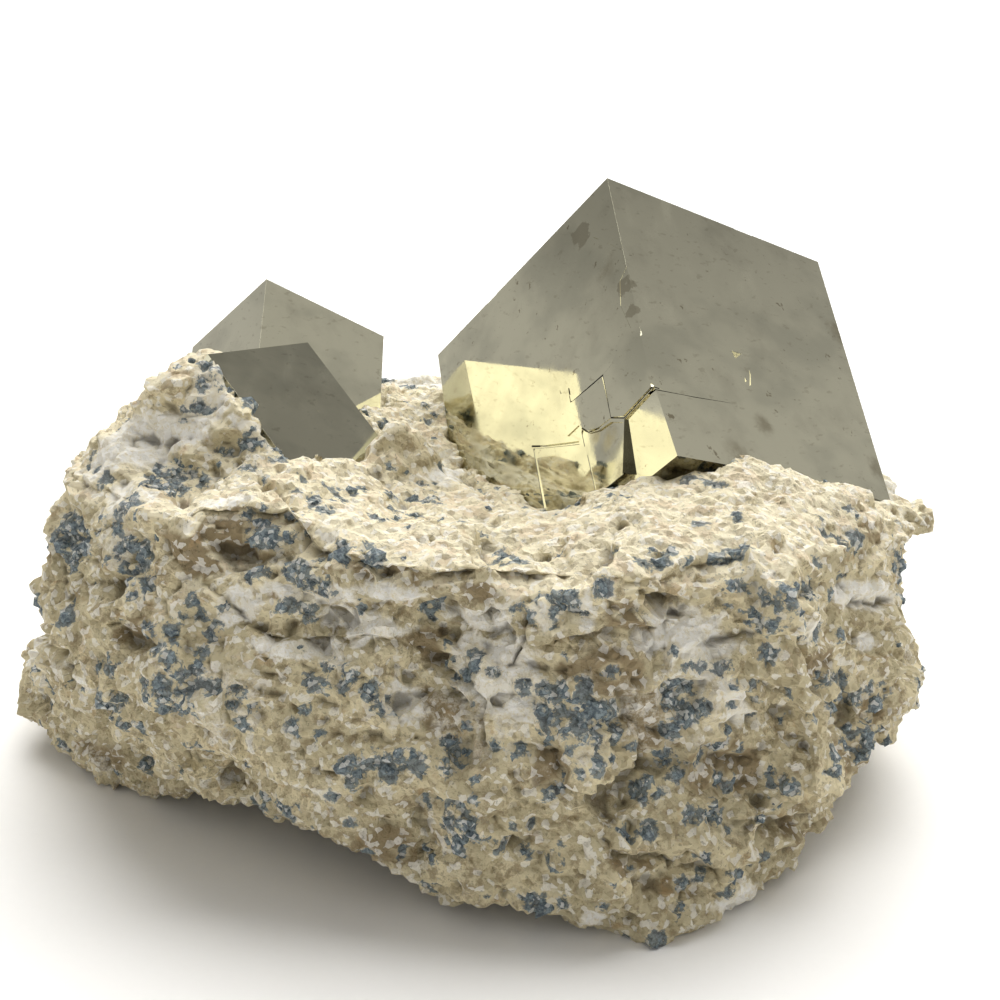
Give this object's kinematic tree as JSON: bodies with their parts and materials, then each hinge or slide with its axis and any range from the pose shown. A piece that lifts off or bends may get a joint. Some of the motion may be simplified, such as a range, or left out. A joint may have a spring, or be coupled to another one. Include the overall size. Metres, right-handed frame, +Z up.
{
  "type": "pyrite specimen",
  "caption": "Mineral specimen: a large cubic crystal and two small intergrown cubes standing in a rough block of pale marl, for display.",
  "frame": {"origin": "centre of the specimen's box in X and Y, on the surface that it rests on", "axes": "+Z up as the specimen stands; +X to the right and +Y to the back, seen from the side that shows the large crystal's centre edge"},
  "size_m": [0.0934, 0.0856, 0.0571],
  "materials": {
    "marl": "rough broken stone, pale ochre with cream, brown and blue-grey grains",
    "pyrite": "natural polished metallic crystal faces, pale brassy grey"
  },
  "bodies": {
    "root": {"matrix_stone": "marl", "large_crystal": "pyrite", "small_crystals": "pyrite"}
  },
  "joints": []
}
